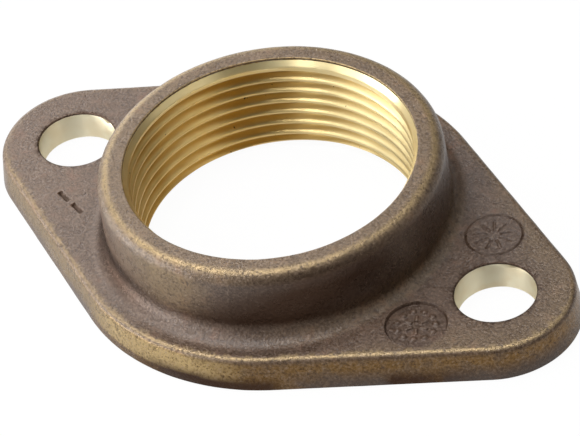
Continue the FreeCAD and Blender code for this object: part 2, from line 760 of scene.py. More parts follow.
@dataclass(frozen=True)
class CastSkin:
    """The dark oxide skin of the sand casting, worn back to bronze along its edges, with painted highlights
    and painted shade in its colour.
    """

    dark: Colour = (0.078, 0.044, 0.026, 1.0)
    pale: Colour = (0.182, 0.115, 0.074, 1.0)
    rusty: Colour = (0.190, 0.086, 0.046, 1.0)
    gold: Colour = (0.620, 0.450, 0.210, 1.0)
    bronze: Colour = (0.200, 0.112, 0.036, 1.0)
    stain: Colour = (0.054, 0.029, 0.018, 1.0)
    grit: Colour = (0.300, 0.215, 0.160, 1.0)
    broad: Noise = (120.0, 3.0, 0.5)
    patch: Noise = (420.0, 4.0, 0.6)
    grain: Noise = (2300.0, 4.0, 0.7)
    blot: Noise = (58.0, 3.0, 0.5)
    tone: float = 0.36
    tone_broad: float = 1.1
    tone_patch: float = 1.2
    # Painted shade: the tone is darkened evenly towards the right-hand side, away from the left lamps, by
    # this much over the reach below
    fade: float = 0.30
    shade_direction: Triple = (0.757, 0.654, 0.0)
    shade_reach: float = 45 * MM
    rust_share: float = 0.65
    rust_patch: Ramp = (0.52, 0.70)
    rust_broad: Ramp = (0.40, 0.62)
    foot_height: float = 2.8 * MM
    foot_reach: float = 1.2
    foot_least: float = 0.25
    foot_cover: float = 0.8
    foot_side_darkening: float = 0.7
    blot_patch: float = 0.25
    blot_edge: Ramp = (0.44, 0.56)
    flank_least: float = 0.65
    flank_patch: Ramp = (0.30, 0.55)
    flank_metal: float = 0.9
    rub_patch: float = 1.2
    rub_grain: float = 1.4
    rub_metal: float = 0.85
    gold_share: float = 0.9
    # How strongly the shade-and-darkening mask mixes in the stain colour, and how much it hides the grit
    darkening_level: float = 0.5
    darkening_cover: float = 0.85
    grain_contrast: float = 6.2
    grit_share: float = 0.55
    pit_share: float = 0.8
    sand_depth: float = 0.18 * MM
    sand_grain: float = 0.7
    sand_patch: float = 0.4
    roughness: float = 0.28
    rough_patch: float = 0.15
    gloss: float = 0.68

    def material(self) -> bpy.types.Material:
        """Make the cast finish.

        Returns:
            The material.
        """
        sheet = SurfaceSheet("cast_skin")
        place = sheet.place
        wear_and_highlight, side, shade_and_darkening = (sheet.mask(mask) for mask in (Mask.WEAR_AND_HIGHLIGHT, Mask.SIDE, Mask.SHADE_AND_DARKENING))
        broad, patch, grain, blot = (
            sheet.noise(place, *noise) for noise in (self.broad, self.patch, self.grain, self.blot)
        )
        # Painted shade: the tone also falls off towards the right-hand side
        across = sheet.along(place, self.shade_direction) / self.shade_reach
        tone = self.tone + broad.swing(self.tone_broad) + patch.swing(self.tone_patch) - across * self.fade
        colour = sheet.mix(tone.clamped(), self.dark, self.pale)
        rust = patch.rise(*self.rust_patch) * broad.rise(*self.rust_broad) * self.rust_share
        colour = sheet.mix(rust, colour, self.rusty)
        # The side is darker towards the bottom, in blots, and shows less bronze there
        low = (self.foot_reach - sheet.along(place, UP) / self.foot_height).clamped()
        foot = low * (blot + patch.swing(self.blot_patch)).rise(*self.blot_edge).lifted(self.foot_least)
        flank = side * patch.rise(*self.flank_patch).lifted(self.flank_least) * (1.0 - foot * self.foot_cover)
        colour = sheet.mix(flank, colour, self.bronze)
        # Gold worn metal; where the wear mask holds painted highlights, this paints them on the boss wall's
        # front-left, the side's front-left, the root fillet and the front edges
        rub = (wear_and_highlight * (1.0 + patch.swing(self.rub_patch) + grain.swing(self.rub_grain))).clamped()
        colour = sheet.mix(rub * self.gold_share, colour, self.gold)
        # Painted shade: the stain colour goes where the mask paints shade in the boss's left corner, on its
        # wall's front-right, on the front shelf and in the marks, and on darker places at the lip, hole edges
        # and foot
        darkening = (shade_and_darkening * (self.darkening_level + grain) + foot * side * self.foot_side_darkening).clamped()
        colour = sheet.mix(darkening, colour, self.stain)
        speckle = grain.swing(self.grain_contrast)
        clean = 1.0 - darkening * self.darkening_cover
        colour = sheet.mix((speckle * self.grit_share * clean).clamped(), colour, self.grit)
        colour = sheet.mix((speckle * -self.pit_share).clamped(), colour, self.stain)
        return sheet.dress(grain * self.sand_grain + patch * self.sand_patch, self.sand_depth, {
            "Base Color": colour,
            "Metallic": (rub * self.rub_metal + flank * self.flank_metal + shade_and_darkening).clamped(),
            "Roughness": self.roughness + patch.swing(self.rough_patch),
            "Specular IOR Level": self.gloss,
        })


@dataclass(frozen=True)
class CutBrass:
    """The fresh metal of the cut thread and its countersink, deepened by painted shade in the grooves and
    towards the left side.
    """

    metal: Colour = (0.930, 0.790, 0.440, 1.0)
    deep: Colour = (0.640, 0.425, 0.130, 1.0)
    pit: Colour = (0.060, 0.040, 0.020, 1.0)
    marks: Noise = (1.0, 3.0, 0.5)
    mark_stretch: Triple = (150.0, 150.0, 5200.0)
    mark_depth: float = 0.010 * MM
    mark_roughness: float = 0.2
    cloud: Noise = (260.0, 3.0, 0.5)
    cloud_age: float = 0.5
    groove_shade: float = 0.5
    # Painted shade towards the left side: how much, which way, over what reach, and where it starts and is
    # full
    fade: float = 0.7
    shade_direction: Triple = (-0.757, -0.654, 0.0)
    shade_reach: float = 22 * MM
    shade_edge: Ramp = (-0.90, 0.20)
    pits: Noise = (1500.0, 1.0, 0.5)
    pit_edge: Ramp = (0.785, 0.805)
    pit_dulling: float = 0.6
    pit_roughness: float = 0.3
    roughness: float = 0.35
    brushing: float = 0.9
    brush_turn: float = 0.25

    def material(self) -> bpy.types.Material:
        """Make the cut finish.

        Returns:
            The material.
        """
        sheet = SurfaceSheet("cut_thread")
        marks = sheet.noise(sheet.stretched(sheet.place, self.mark_stretch), *self.marks)
        cloud = sheet.noise(sheet.place, *self.cloud)
        pits = sheet.noise(sheet.place, *self.pits).rise(*self.pit_edge)
        across = sheet.along(sheet.place, self.shade_direction) / self.shade_reach
        # Painted shade: the deep colour is mixed in by the groove's depth and towards the left side, on top
        # of random clouding
        aged_and_shaded = sheet.mask(Mask.SHADE_AND_DARKENING) * self.groove_shade + cloud.swing(self.cloud_age)
        aged_and_shaded += across.rise(*self.shade_edge) * self.fade
        colour = sheet.mix(aged_and_shaded.clamped(), self.metal, self.deep)
        return sheet.dress(marks, self.mark_depth, {
            "Base Color": sheet.mix(pits, colour, self.pit),
            "Metallic": 1.0 - pits * self.pit_dulling,
            "Roughness": self.roughness + marks.swing(self.mark_roughness) + pits * self.pit_roughness,
            "Anisotropic": self.brushing,
            "Anisotropic Rotation": self.brush_turn,
        })


@dataclass(frozen=True)
class DrilledBrass:
    """The smooth pale wall of a drilled bolt hole."""

    metal: Colour = (0.980, 0.910, 0.700, 1.0)
    dull: Colour = (0.930, 0.830, 0.600, 1.0)
    marks: Noise = (1.0, 2.0, 0.5)
    mark_stretch: Triple = (120.0, 120.0, 9000.0)
    mark_depth: float = 0.010 * MM
    mark_roughness: float = 0.15
    cloud: Noise = (300.0, 2.0, 0.5)
    cloud_edge: Ramp = (0.35, 0.70)
    roughness: float = 0.56
    brushing: float = 0.95
    brush_turn: float = 0.25

    def material(self) -> bpy.types.Material:
        """Make the drilled finish.

        Returns:
            The material.
        """
        sheet = SurfaceSheet("drilled_wall")
        marks = sheet.noise(sheet.stretched(sheet.place, self.mark_stretch), *self.marks)
        dulled = sheet.noise(sheet.place, *self.cloud).rise(*self.cloud_edge)
        return sheet.dress(marks, self.mark_depth, {
            "Base Color": sheet.mix(dulled, self.metal, self.dull),
            "Metallic": 1.0,
            "Roughness": self.roughness + marks.swing(self.mark_roughness),
            "Anisotropic": self.brushing,
            "Anisotropic Rotation": self.brush_turn,
        })


@dataclass(frozen=True)
class FacedBrass:
    """The gasket face, turned flat in a lathe and slightly dulled."""

    metal: Colour = (0.620, 0.460, 0.240, 1.0)
    dull: Colour = (0.360, 0.250, 0.140, 1.0)
    feed: float = 0.22 * MM
    mark_depth: float = 0.010 * MM
    cloud: Noise = (140.0, 4.0, 0.6)
    cloud_edge: Ramp = (0.40, 0.68)
    cloud_share: float = 0.7
    spots: Noise = (1100.0, 2.0, 0.5)
    spot_edge: Ramp = (0.60, 0.72)
    spot_share: float = 0.4
    spot_depth: float = 0.5
    dulling: float = 0.4
    roughness: float = 0.30
    dull_roughness: float = 0.2

    def material(self) -> bpy.types.Material:
        """Make the faced finish.

        Returns:
            The material.
        """
        sheet = SurfaceSheet("faced_gasket")
        radius = sheet.apart(sheet.stretched(sheet.place, LEVEL), ORIGIN)
        rings = (radius * (FULL_TURN / self.feed)).sine() * 0.5 + 0.5
        cloud, spots = (sheet.noise(sheet.place, *noise) for noise in (self.cloud, self.spots))
        cloudy = cloud.rise(*self.cloud_edge) * self.cloud_share
        dulled = (cloudy + spots.rise(*self.spot_edge) * self.spot_share).clamped()
        return sheet.dress(rings + spots * self.spot_depth, self.mark_depth, {
            "Base Color": sheet.mix(dulled, self.metal, self.dull),
            "Metallic": 1.0 - dulled * self.dulling,
            "Roughness": self.roughness + dulled * self.dull_roughness,
        })


@dataclass
class ThreadedBore:
    """The bore's wall: gasket chamfer, tapered helical thread and the sloped lead-in under the lip."""

    height: float = 17.46 * MM
    pitch: float = 25.4 / 11.5 * MM
    taper: float = 1 / 32
    pitch_radius: float = 22.58 * MM
    half_form: tuple[Pair, ...] = ((1, 0.0), (2, 30.0), (2, 45.0), (8, 60.0), (2, 30.0), (1, 0.0))
    phase: float = -0.075
    lead_radius: float = 23.2 * MM
    lead_slope: float = 0.75
    mouth_fade: Ramp = (1.15 * MM, 2.35 * MM)
    gasket_radius: float = 23.33 * MM
    # Painted light: the lead-in gets this share in place of the groove's, which clears the painted shade and
    # leaves it the palest metal
    gasket_fade: float = 1.0 * MM
    lead_in_lift: float = -1.0
    columns: int = 320
    rows_in_turn: int = 16
    spare_turns: int = 2

    def form_steps(self) -> list[Pair]:
        """Work out the thread's form from crest to root.

        Returns:
            The share of the pitch and the depth of each step.
        """
        shares = [share / sum(2 * part for part, _ in self.half_form) for share, _ in self.half_form]
        return [(share, share * self.pitch * math.tan(math.radians(lean)))
                for share, (_, lean) in zip(shares, self.half_form)]

    @property
    def depth(self) -> float:
        """The groove's whole depth."""
        return sum(depth for _, depth in self.form_steps())

    @property
    def crest_radius(self) -> float:
        """The radius of the crests at the gasket face."""
        return self.pitch_radius - self.depth / 2

    def gasket_ring(self) -> np.ndarray:
        """The edge on the gasket face."""
        return circle(self.gasket_radius, 0.0, self.columns)

    def wall(self, material: bpy.types.Material) -> bpy.types.Mesh:
        """Make the wall, with rows of points that follow the helix.

        Args:
            material: The cut finish.

        Returns:
            The wall as an open mesh.
        """
        rule = MeshRule("threaded_bore")
        height = rule.size("Height", self.height)
        pitch = rule.size("Pitch", self.pitch)
        taper = rule.size("Taper on radius", self.taper)
        crest = rule.size("Crest radius at gasket face", self.crest_radius)
        phase = rule.size("Phase", self.phase)
        lead = rule.size("Lead-in radius", self.lead_radius)
        lead_slope = rule.size("Lead-in slope", self.lead_slope)
        fade_from, fade_to = (rule.size(f"Thread {end} below lip", depth)
                              for end, depth in zip(("starts", "is full"), self.mouth_fade))
        gasket = rule.size("Gasket edge radius", self.gasket_radius)
        gasket_fade = rule.size("Run-out at gasket face", self.gasket_fade)
        turns = math.ceil(self.height / self.pitch) + self.spare_turns
        columns = rule.size("Columns", self.columns + 1)
        rows = rule.size("Rows", turns * self.rows_in_turn + 1)
        grid, round_part, up_part = rule.sheet_of(columns, rows)
        turn = up_part * float(turns)
        z = ((turn - 1.0 + round_part + phase) * pitch).at_least(0.0).at_most(height)
        stage = (turn + 0.5 / self.rows_in_turn).part()
        beyond = 0.5 - abs(stage - 0.5)
        groove: Signal | float = 0.0
        for number, (share, depth) in enumerate(self.form_steps()):
            part = rule.size(f"Form step {number} share", share)
            groove += (beyond / part).clamped() * rule.size(f"Form step {number} depth", depth)
            beyond -= part
        fade = z.rise(0.0, gasket_fade) * (height - z).rise(fade_from, fade_to)
        cut = crest + z * taper + groove * fade
        mouth = lead - (height - z) * lead_slope
        radius = cut.at_least(mouth).at_least(gasket - z)
        angle = round_part * FULL_TURN
        wall = rule.placed(grid, radius * angle.cosine(), radius * angle.sine(), z)
        rule.close(wall, [material])
        return rule.run()

    def build(self, skin: Skin, material: bpy.types.Material) -> None:
        """Add the wall to the skin.

        Args:
            skin: The casting's skin.
            material: The cut finish.
        """
        points, faces = mesh_patch(self.wall(material))
        above_crest = plan_radius(points) - self.crest_radius - points[:, 2] * self.taper
        # Painted shade by the depth into the groove, except on the lead-in, which is painted paler
        shade_and_darkening = ramp(above_crest, 0.0, self.depth)
        lead_in = points[:, 2] > self.height - self.mouth_fade[0]
        skin.add((points, faces), Finish.CUT, {Mask.SHADE_AND_DARKENING: np.where(lead_in, self.lead_in_lift, shade_and_darkening)})


@dataclass
class Boss:
    """The raised round boss: a rim with a rounded edge, a drafted wall and a root fillet, with painted
    highlights and painted shade set by plan angle.

    Spreads go by plan angle in degrees. Ramps and humps go by the share of the way over the rim's edge,
    down the wall or down the root.
    """

    bore: ThreadedBore
    height: float = 17.9 * MM
    lip_edge: float = 0.14 * MM
    lip_slope_steps: int = 2
    lip_edge_steps: int = 4
    lip_relief: tuple[float, ...] = (0.0, 0.6, 1.2, 1.2, 1.2, 1.2, 1.0)
    lip_wear: tuple[float, ...] = (0.0, 0.0, 0.5, 0.8, 0.8, 0.6, 0.10)
    # Darker rows at the foot of the lip, just inside the rim
    lip_darkening: tuple[float, ...] = (1.0, 0.8, 0.0, 0.0, 0.0, 0.0, 0.0)
    rim_radius: float = 27.3 * MM
    rim_edge: float = 2.2 * MM
    draft_deg: float = 2.0
    shelf: float = FLANGE_THICKNESS
    root_fillet: float = 2.0 * MM
    fillet_growth: Spread = (
        (-180.0, 0.5 * MM), (-145.0, 0.5 * MM), (-132.0, 0.9 * MM), (-48.0, 0.9 * MM), (-26.0, 0.1 * MM),
        (-20.0, 0.0), (22.0, 0.0), (45.0, 0.5 * MM), (180.0, 0.5 * MM),
    )
    rim_steps: int = 6
    edge_steps: int = 12
    wall_steps: int = 18
    root_steps: int = 10
    rim_wear: float = 0.13
    edge_wear_least: float = 0.12
    edge_wear_gain: float = 0.46
    edge_wear_place: Hump = (0.24, 0.17)
    wear_on_edge: Ramp = (1.0, 0.75)
    # Painted highlight: gold metal on the upper boss wall at the front-left, where the key lamp falls, fading
    # down the wall
    front_left_highlight: Spread = ((-124.0, 0.0), (-108.0, 0.14), (-98.0, 0.36), (-88.0, 0.36), (-74.0, 0.0))
    highlight_on_edge: Ramp = (0.5, 1.0)
    highlight_fade: float = 0.6
    # Painted highlight: gold metal on the root fillet and the wall's foot at the front-right
    fillet_highlight: Spread = ((-70.0, 0.0), (-50.0, 0.06), (-20.0, 0.13), (20.0, 0.10), (45.0, 0.0))
    fillet_highlight_on_wall: Ramp = (0.75, 1.0)
    fillet_highlight_on_root: Ramp = (1.0, 0.8)
    # Painted shade on the boss wall's front-right, which faces away from the lamps, by plan angle and leaning
    # with height; it reaches onto the rim's edge and the root
    painted_wall_shade: Spread = (
        (-86.0, 0.0), (-68.0, 0.68), (-56.0, 0.93), (-36.0, 0.93), (-16.0, 0.54), (20.0, 0.46), (50.0, 0.0)
    )
    shade_lean_deg: float = 26.0
    edge_shade: float = 0.8
    shade_on_edge: Ramp = (0.2632, 0.7895)
    shade_on_wall: Ramp = (-0.8, 0.2)
    shade_on_root: Ramp = (0.3462, -0.0385)
    # Painted shade in the corner at the foot of the boss wall on the left, where it also hides a highlight
    corner_shade: Spread = ((-170.0, 0.0), (-150.0, 0.85), (-118.0, 0.85), (-96.0, 0.25), (-82.0, 0.0))
    corner_shade_on_wall: Ramp = (0.7, 1.0333)
    corner_shade_on_root: Ramp = (0.9167, 0.5)

    def offset_radius(self, z: Size, offset: Size) -> Size:
        """The radius at a height of a line that stands off the drafted wall."""
        draft = math.radians(self.draft_deg)
        return self.rim_radius + (offset - (z - self.height) * math.sin(draft)) / math.cos(draft)

    def lip_section(self) -> Section:
        """Lay points over the small rounded lip.

        Returns:
            The radius and height of each ring, from the lead-in to the rim.
        """
        foot = (self.bore.lead_radius, self.bore.height)
        centre = (self.bore.lead_radius + self.lip_edge, self.height - self.lip_edge)
        rounded = arc(centre, self.lip_edge, 180.0, 90.0, self.lip_edge_steps)
        return [*np.linspace(foot, rounded[0], self.lip_slope_steps + 1)[:-1], *rounded]

    def root_section(self) -> Section:
        """Lay points down the root fillet, which is wider where no mark stands close to it.

        Returns:
            The radius and height of each ring, at each of its points.
        """
        columns = self.bore.columns
        plan = (np.arange(columns) / columns * 360.0 + 180.0) % 360.0 - 180.0
        fillet = self.root_fillet + spread_at(self.fillet_growth, plan)
        z = self.shelf + fillet
        return arc((self.offset_radius(z, fillet), z), fillet, 180.0 + self.draft_deg, 270.0, self.root_steps)

    def zones(self) -> list[Section]:
        """Lay points over the rim and down its edge, the wall and the root.

        Returns:
            The radius and height of each ring, for each of the four.
        """
        edge_z = self.height - self.rim_edge
        edge_centre = (self.offset_radius(edge_z, -self.rim_edge), edge_z)
        edge = arc(edge_centre, self.rim_edge, 90.0, self.draft_deg, self.edge_steps)
        root = self.root_section()
        rim = list(np.linspace(self.lip_section()[-1], edge[0], self.rim_steps + 1))[:-1]
        wall_top = [np.full(self.bore.columns, size) for size in edge[-1]]
        wall = list(np.linspace(wall_top, root[0], self.wall_steps + 1))[1:-1]
        return [rim, edge, wall, root]

    def root_ring(self) -> np.ndarray:
        """The edge on the flange's upper face."""
        radius, _ = self.root_section()[-1]
        return circle(radius, self.shelf, self.bore.columns)

    def build_lip(self, skin: Skin) -> None:
        """Add the lip to the skin.

        Args:
            skin: The casting's skin.
        """
        columns = self.bore.columns
        rings = [circle(r, z, columns) for r, z in self.lip_section()]
        masks = {Mask.RELIEF: self.lip_relief, Mask.WEAR_AND_HIGHLIGHT: self.lip_wear, Mask.SHADE_AND_DARKENING: self.lip_darkening}
        skin.add(band(rings), Finish.CAST, {mask: np.repeat(rows, columns) for mask, rows in masks.items()})

    def build_body(self, skin: Skin) -> None:
        """Add the rim, wall and root to the skin.

        Args:
            skin: The casting's skin.
        """
        columns = self.bore.columns
        zones = self.zones()

        def rows(*shares: Size) -> np.ndarray:
            """Give each point the share of its row, from the rim to the root."""
            parts = [np.broadcast_to(share, len(zone)) for share, zone in zip(shares, zones)]
            return np.repeat(np.concatenate(parts), columns)

        _, edge, wall, root = (np.linspace(0.0, 1.0, len(zone)) for zone in zones)
        edge_wear = self.edge_wear_least + self.edge_wear_gain * hump(edge, *self.edge_wear_place)
        edge_shade = self.edge_shade * ramp(edge, *self.shade_on_edge)
        worn = rows(self.rim_wear, edge_wear * ramp(edge, *self.wear_on_edge), 0.0, 0.0)
        # Painted highlight rows for the front-left wall
        upper = rows(0.0, ramp(edge, *self.highlight_on_edge), 1.0 - self.highlight_fade * wall, 0.0)
        # Painted highlight rows for the root fillet
        lower = rows(0.0, 0.0, ramp(wall, *self.fillet_highlight_on_wall), ramp(root, *self.fillet_highlight_on_root))
        # Painted shade rows for the wall's front-right
        wall_shade_rows = rows(0.0, edge_shade, ramp(wall, *self.shade_on_wall), ramp(root, *self.shade_on_root))
        # Painted shade rows for the left corner
        corner = rows(0.0, 0.0, ramp(wall, *self.corner_shade_on_wall), ramp(root, *self.corner_shade_on_root))
        points, faces = band([circle(r, z, columns) for zone in zones for r, z in zone])
        plan = plan_angle(points)
        leaning = plan + self.shade_lean_deg * (rows(0.0, 0.0, wall, 1.0) - 0.5)
        front_left_highlight, fillet_highlight, darkened = (
            spread_at(spread, plan) for spread in (self.front_left_highlight, self.fillet_highlight, self.corner_shade)
        )
        # The wear mask gets the rim's real wear and the painted highlights, the other mask the painted shade
        skin.add((points, faces), Finish.CAST, {
            Mask.RELIEF: 1.0,
            Mask.WEAR_AND_HIGHLIGHT: np.maximum(worn, front_left_highlight * upper + fillet_highlight * lower),
            Mask.SHADE_AND_DARKENING: np.maximum(spread_at(self.painted_wall_shade, leaning) * wall_shade_rows, darkened * corner),
        })

    def build(self, skin: Skin) -> None:
        """Add the whole boss to the skin."""
        self.build_lip(skin)
        self.build_body(skin)


@dataclass
class BoltHole:
    """A drilled hole, broken at the gasket face and slightly rounded at the cast face."""

    x: float
    radius: float = 6.35 * MM
    gasket_break: float = 0.5 * MM
    top_edge: float = 0.28 * MM
    top: float = FLANGE_THICKNESS
    wall_steps: int = 8
    edge_steps: int = 4
    # The rounded upper edge is darker
    edge_darkening: float = 0.7
    columns: int = 112

    def ring(self, radius: float, z: float) -> np.ndarray:
        """A level ring about the hole's axis."""
        return circle(radius, z, self.columns, (self.x, 0.0))

    def top_ring(self) -> np.ndarray:
        """The edge on the cast face."""
        return self.ring(self.radius + self.top_edge, self.top)

    def gasket_ring(self) -> np.ndarray:
        """The edge on the gasket face."""
        return self.ring(self.radius + self.gasket_break, 0.0)

    def build(self, skin: Skin) -> None:
        """Add the wall and its edges to the skin.

        Args:
            skin: The casting's skin.
        """
        wall_top = self.top - self.top_edge
        wall = [(self.radius + self.gasket_break, 0.0)]
        wall += [(self.radius, z) for z in np.linspace(self.gasket_break, wall_top, self.wall_steps + 1)]
        skin.add(band([self.ring(r, z) for r, z in wall]), Finish.DRILLED)
        centre = (self.radius + self.top_edge, wall_top)
        edge = arc(centre, self.top_edge, 180.0, 90.0, self.edge_steps)
        skin.add(band([self.ring(r, z) for r, z in edge]), Finish.CAST, {Mask.SHADE_AND_DARKENING: self.edge_darkening})


@dataclass
class RoundMark:
    """A round foundry mark on the upper face: a shallow dish or ring groove with plain pips and ticks."""

    name: str
    centre: Pair
    radius: float
    top: float = FLANGE_THICKNESS
    sink: float = 0.0
    groove: float = 0.0
    wall: float = 0.24 * MM
    turn_deg: float = 0.0
    pips: int = 0
    pip_ring: float = 0.0
    pip_radius: float = 0.45 * MM
    pip_height: float = 0.0
    pip_flat: float = 0.35
    ticks: int = 0
    tick_from: float = 0.0
    tick_to: float = 0.0
    tick_width: float = 0.3 * MM
    tick_depth: float = 0.0
    tick_flank: Ramp = (0.25, 0.75)
    tick_end: float = 0.2 * MM
    # Painted shade in the sunk parts, deepening with depth, and stronger on the pocket's wall
    sunk_shade: float = 0.28
    shade_depth: float = 0.5 * MM
    pocket_wall_shade: float = 0.8
    wall_reach: float = 1.5
    columns: int = 144
    rows: int = 40

    def ring(self) -> np.ndarray:
        """The mark's edge on the upper face."""
        return circle(self.radius, self.top, self.columns, self.centre)

    @staticmethod
    def from_nearest(share: Signal, count: Signal) -> Signal:
        """The angle from the nearest of some evenly spaced places round the mark."""
        return (share * count + 0.5).part().swing(FULL_TURN) / count.at_least(1.0)

    def dish(self, material: bpy.types.Material) -> bpy.types.Mesh:
        """Make the mark as a round sheet.

        Args:
            material: The cast finish.

        Returns:
            The mark as an open mesh.
        """
        rule = MeshRule(self.name)
        reach = rule.size("Radius", self.radius)
        sink = rule.size("Sink", self.sink)
        groove = rule.size("Ring groove depth", self.groove)
        wall = rule.size("Wall width", self.wall)
        pips = rule.size("Pips", float(self.pips))
        pip_ring = rule.size("Pip ring radius", self.pip_ring)
        pip_radius = rule.size("Pip radius", self.pip_radius)
        pip_height = rule.size("Pip height", self.pip_height)
        ticks = rule.size("Ticks", float(self.ticks))
        tick_from = rule.size("Tick start", self.tick_from)
        tick_to = rule.size("Tick end", self.tick_to)
        tick_width = rule.size("Tick width", self.tick_width)
        tick_depth = rule.size("Tick depth", self.tick_depth)
        grid, share, out_share = rule.sheet_of(
            rule.size("Columns", self.columns + 1), rule.size("Rows", self.rows + 1)
        )
        angle = share * FULL_TURN + rule.size("Turn", math.radians(self.turn_deg))
        radius = out_share * reach
        inward = reach - radius
        edge = inward.rise(0.0, wall)
        dip = edge * sink
        ditch = edge * (1.0 - inward.rise(wall, wall * 2.0)) * groove
        pip_turn, tick_turn = (self.from_nearest(share, count) for count in (pips, ticks))
        pip_apart = radius * radius + pip_ring * pip_ring - radius * pip_ring * pip_turn.cosine() * 2.0
        pip = 1.0 - (pip_apart.at_least(0.0).root() / pip_radius).rise(self.pip_flat, 1.0)
        tick_apart = abs(tick_turn.sine() * radius)
        tick = 1.0 - tick_apart.rise(*(tick_width * part for part in self.tick_flank))
        tick_start = radius.rise(tick_from - self.tick_end, tick_from)
        tick_span = tick_start * (1.0 - radius.rise(tick_to, tick_to + self.tick_end))
        z = self.top - dip - ditch + pip * pip_height - tick * tick_span * tick_depth
        x = radius * angle.cosine() + self.centre[0]
        y = radius * angle.sine() + self.centre[1]
        rule.close(rule.placed(grid, x, y, z), [material])
        return rule.run()

    def build(self, skin: Skin, material: bpy.types.Material) -> None:
        """Add the mark to the skin.

        Args:
            skin: The casting's skin.
            material: The cast finish.
        """
        points, faces = mesh_patch(self.dish(material))
        # Painted shade in the recesses
        sunk = ramp(self.top - points[:, 2], 0.0, self.shade_depth)
        on_wall = plan_radius(points, self.centre) > self.radius - self.wall * self.wall_reach
        darkening = sunk * np.where(on_wall, self.pocket_wall_shade, self.sunk_shade)
        skin.add((points, faces), Finish.CAST, {Mask.SHADE_AND_DARKENING: darkening})


@dataclass
class OvalPlate:
    """The flat oval flange with drafted sides and a rounded upper edge.

    The foot's darker patches go by the place along the plate, and the shelf's painted shade by plan angle in
    degrees.
    """

    thickness: float = FLANGE_THICKNESS
    waist_radius: float = 34.4 * MM
    waist_set_back: float = 0.9 * MM
    ear_radius: float = 13.85 * MM
    ear_reach: float = 39.185 * MM
    draft_deg: float = 8.0
    top_edge: float = 1.0 * MM
    gasket_edge: float = 0.2 * MM
    gasket_round: tuple[Pair, ...] = ((-1.0, 0.0), (-0.45, 0.12), (-0.12, 0.5))
    wall_start: float = 1.2
    wall_steps: int = 10
    edge_steps: int = 9
    flat_rows: int = 2
    edge_wear: float = 0.65
    edge_wear_place: Hump = (0.92, 0.16)
    # Partly painted highlight: the top edge's real wear is weighted towards the edges that face this way, the
    # front, so the front edge shows a bright gold line
    edge_facing: Pair = (0.643, -0.766)
    facing_level: float = 0.32
    facing_gain: float = 0.6
    facing_least: float = 0.18
    bronze_end: float = 0.8
    # Painted highlight: bare gold metal on the front-left of the side, where the key lamp falls
    side_highlight_facing: Pair = (-0.087, -0.996)
    side_highlight_share: float = 0.95
    side_highlight_lean: Ramp = (0.87, 0.98)
    side_highlight_from: float = 1.2 * MM
    # Where the side is darker at its foot, by the place along the plate
    foot_darkening_spread: Spread = (
        (-8 * MM, 0.0), (0.0, 0.5), (9 * MM, 0.85), (17 * MM, 0.8), (19 * MM, 0.0),
        (32 * MM, 0.0), (33.5 * MM, 0.8), (38 * MM, 0.5), (45 * MM, 0.0),
    )
    foot_rise: Ramp = (2.7 * MM, 1.1 * MM)
    ear_rub: Ramp = (24 * MM, 40 * MM)
    rub_least: float = 0.05
    rub_gain: float = 0.08
    rub_width: float = 0.5 * MM
    rub_growth: float = 4.5 * MM
    relief_room: float = 1.5 * MM
    # Painted shade: a dark band round the front of the shelf, between the fillet and the edge
    shelf_shade: Spread = ((-108.0, 0.0), (-90.0, 0.45), (-50.0, 0.45), (-32.0, 0.0))
    shelf_shade_place: Hump = (31.1 * MM, 0.8 * MM)
    step: float = 0.6 * MM
    spacing: float = 0.65 * MM

    def outline(self) -> tuple[np.ndarray, np.ndarray]:
        """Lay points round the outline on the gasket face.

        Returns:
            The points, and the way out of the plate at each.
        """
        apart = math.hypot(self.ear_reach, self.waist_set_back)
        lean = math.atan2(self.waist_set_back, self.ear_reach)
        lean += math.acos((self.waist_radius - self.ear_radius) / apart)
        stations = [
            ((self.ear_reach, 0.0), self.ear_radius, -lean, lean),
            ((0.0, -self.waist_set_back), self.waist_radius, lean, math.pi - lean),
            ((-self.ear_reach, 0.0), self.ear_radius, math.pi - lean, math.pi + lean),
            ((0.0, self.waist_set_back), self.waist_radius, math.pi + lean, FULL_TURN - lean),
        ]
        points, ways = [], []
        for number, (centre, radius, first, last) in enumerate(stations):
            count = math.ceil(radius * (last - first) / self.step)
            for angle in np.linspace(first, last, count + 1):
                ways.append((math.cos(angle), math.sin(angle)))
                points.append((centre[0] + radius * ways[-1][0], centre[1] + radius * ways[-1][1]))
            next_centre, next_radius, *_ = stations[(number + 1) % len(stations)]
            way = ways[-1]
            end = (next_centre[0] + next_radius * way[0], next_centre[1] + next_radius * way[1])
            count = math.ceil(math.dist(points[-1], end) / self.step)
            points += [tuple(p) for p in np.linspace(points[-1], end, count + 1)[1:-1]]
            ways += [way] * (count - 1)
        return np.array(points), np.array(ways)

    def section(self) -> Section:
        """Lay points up the plate's side.

        Returns:
            How far each point stands out from the outline, and its height.
        """
        draft = math.radians(self.draft_deg)
        slope = math.tan(draft)
        edge_z = self.thickness - self.top_edge
        edge_out = -(self.top_edge + edge_z * math.sin(draft)) / math.cos(draft)
        edge = arc((edge_out, edge_z), self.top_edge, self.draft_deg, 90.0, self.edge_steps)
        foot = self.gasket_edge
        bottom = [(out * foot, up * foot) for out, up in self.gasket_round]
        wall = np.linspace(foot * self.wall_start, edge[0][1], self.wall_steps + 1)[:-1]
        return [*bottom, *((-z * slope, z) for z in wall), *edge]

    def build_side(
        self, skin: Skin, outline: np.ndarray, ways: np.ndarray, rings: Sequence[np.ndarray]
    ) -> None:
        """Add the side and both of its edges to the skin.

        Args:
            skin: The casting's skin.
            outline: The points of the outline.
            ways: The way out of the plate at each.
            rings: The rings of the side, from the gasket face to the upper face.
        """
        heights = np.array([ring[0, 2] for ring in rings])
        edge_start = self.thickness - self.top_edge
        worn = self.edge_wear * hump(ramp(heights, edge_start, self.thickness), *self.edge_wear_place)
